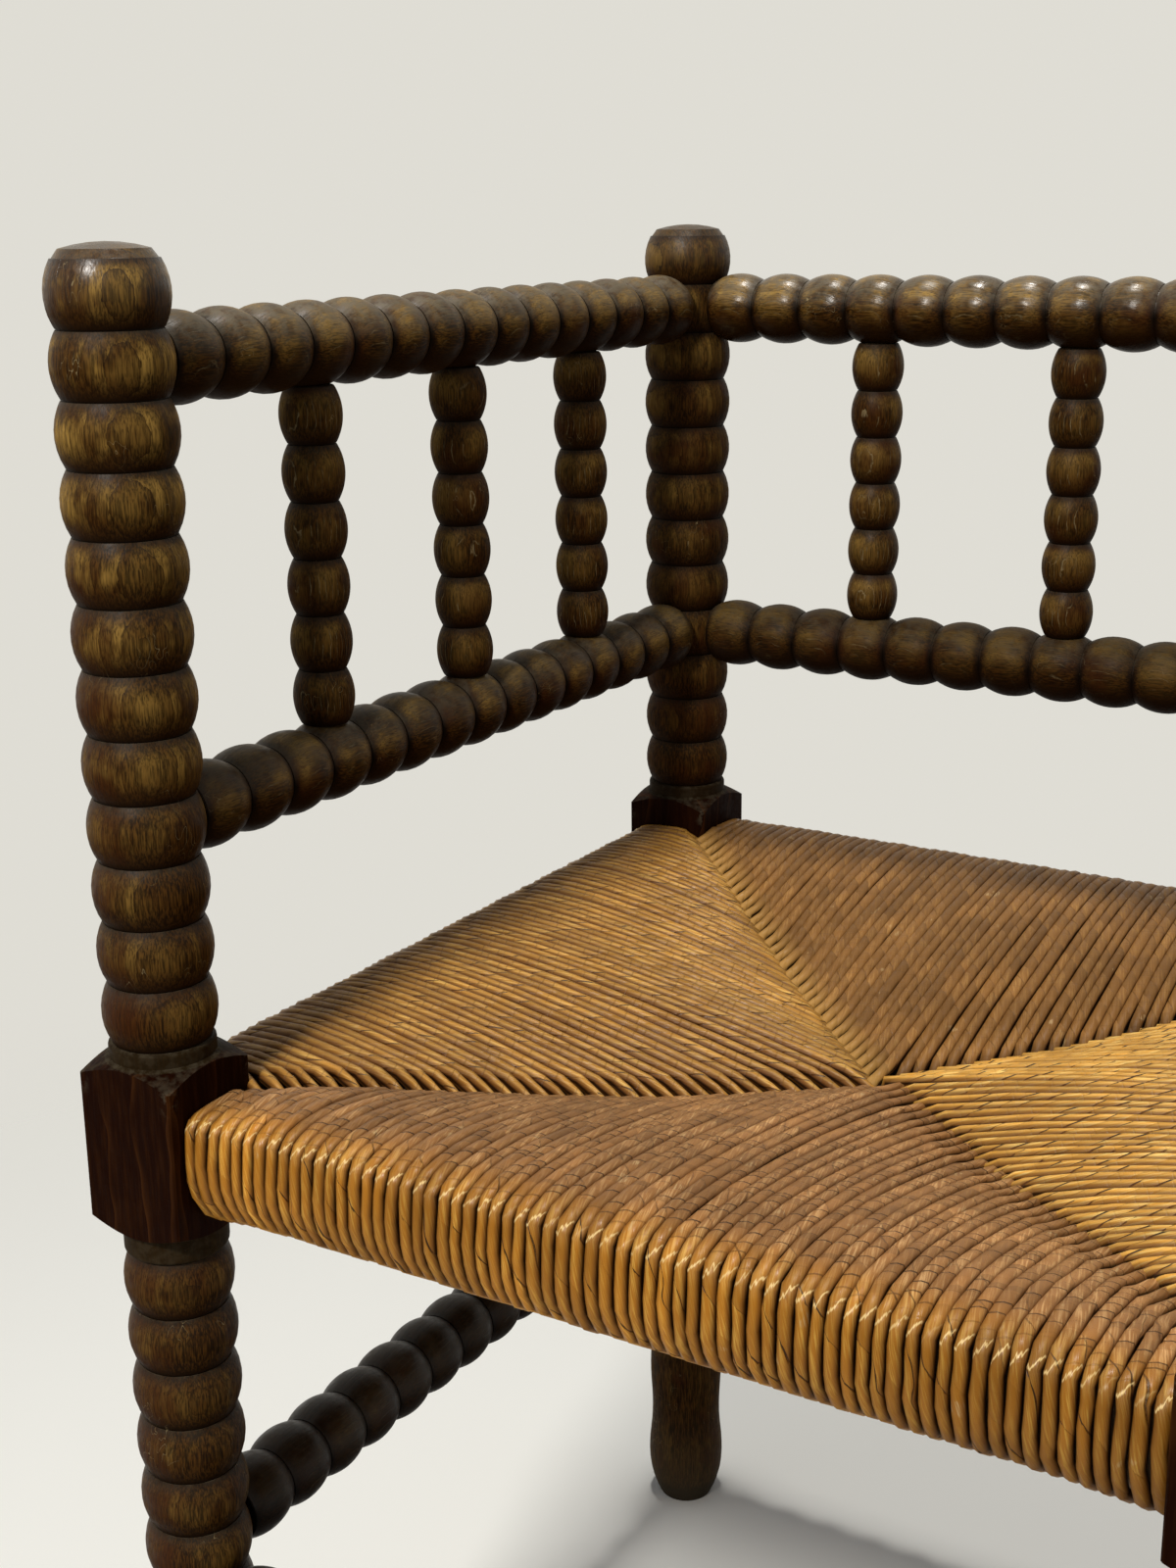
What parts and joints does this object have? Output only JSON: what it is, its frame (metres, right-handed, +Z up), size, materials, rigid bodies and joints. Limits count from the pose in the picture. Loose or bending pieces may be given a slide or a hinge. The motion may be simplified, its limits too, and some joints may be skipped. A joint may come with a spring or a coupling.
{
  "type": "corner chair",
  "caption": "Corner chair of bobbin-turned dark stained wood, with a low spindle back round one corner and a woven rush seat.",
  "frame": {"origin": "on the floor in the middle of the four feet, which is the bottom centre of the bounding box", "axes": "+Z up; the back post stands on +Y, the short front leg on -Y, the left post on -X, the right post on +X"},
  "size_m": [0.6692, 0.6692, 0.7605],
  "materials": {
    "post_wood": "dark stain, worn on the crowns, satin varnish",
    "rail_wood": "dark stain, worn on the crowns, satin varnish",
    "stretcher_wood": "very dark stain, satin varnish",
    "seat_rail_wood": "bare wood, hidden in the rush",
    "rush": "twisted dry rush, golden brown, slightly glossy on the bends"
  },
  "bodies": {
    "root": {"front_leg": "post_wood", "left_post": "post_wood", "back_post": "post_wood", "right_post": "post_wood", "seat_rail_front_left": "seat_rail_wood", "stretcher_front_left": "stretcher_wood", "seat_rail_front_right": "seat_rail_wood", "stretcher_front_right": "stretcher_wood", "seat_rail_back_left": "seat_rail_wood", "stretcher_back_left": "stretcher_wood", "seat_rail_back_right": "seat_rail_wood", "stretcher_back_right": "stretcher_wood", "top_rail_left": "rail_wood", "lower_rail_left": "rail_wood", "spindle_left_1": "rail_wood", "spindle_left_2": "rail_wood", "spindle_left_3": "rail_wood", "top_rail_right": "rail_wood", "lower_rail_right": "rail_wood", "spindle_right_1": "rail_wood", "spindle_right_2": "rail_wood", "spindle_right_3": "rail_wood", "rush_seat": "rush"}
  },
  "joints": []
}
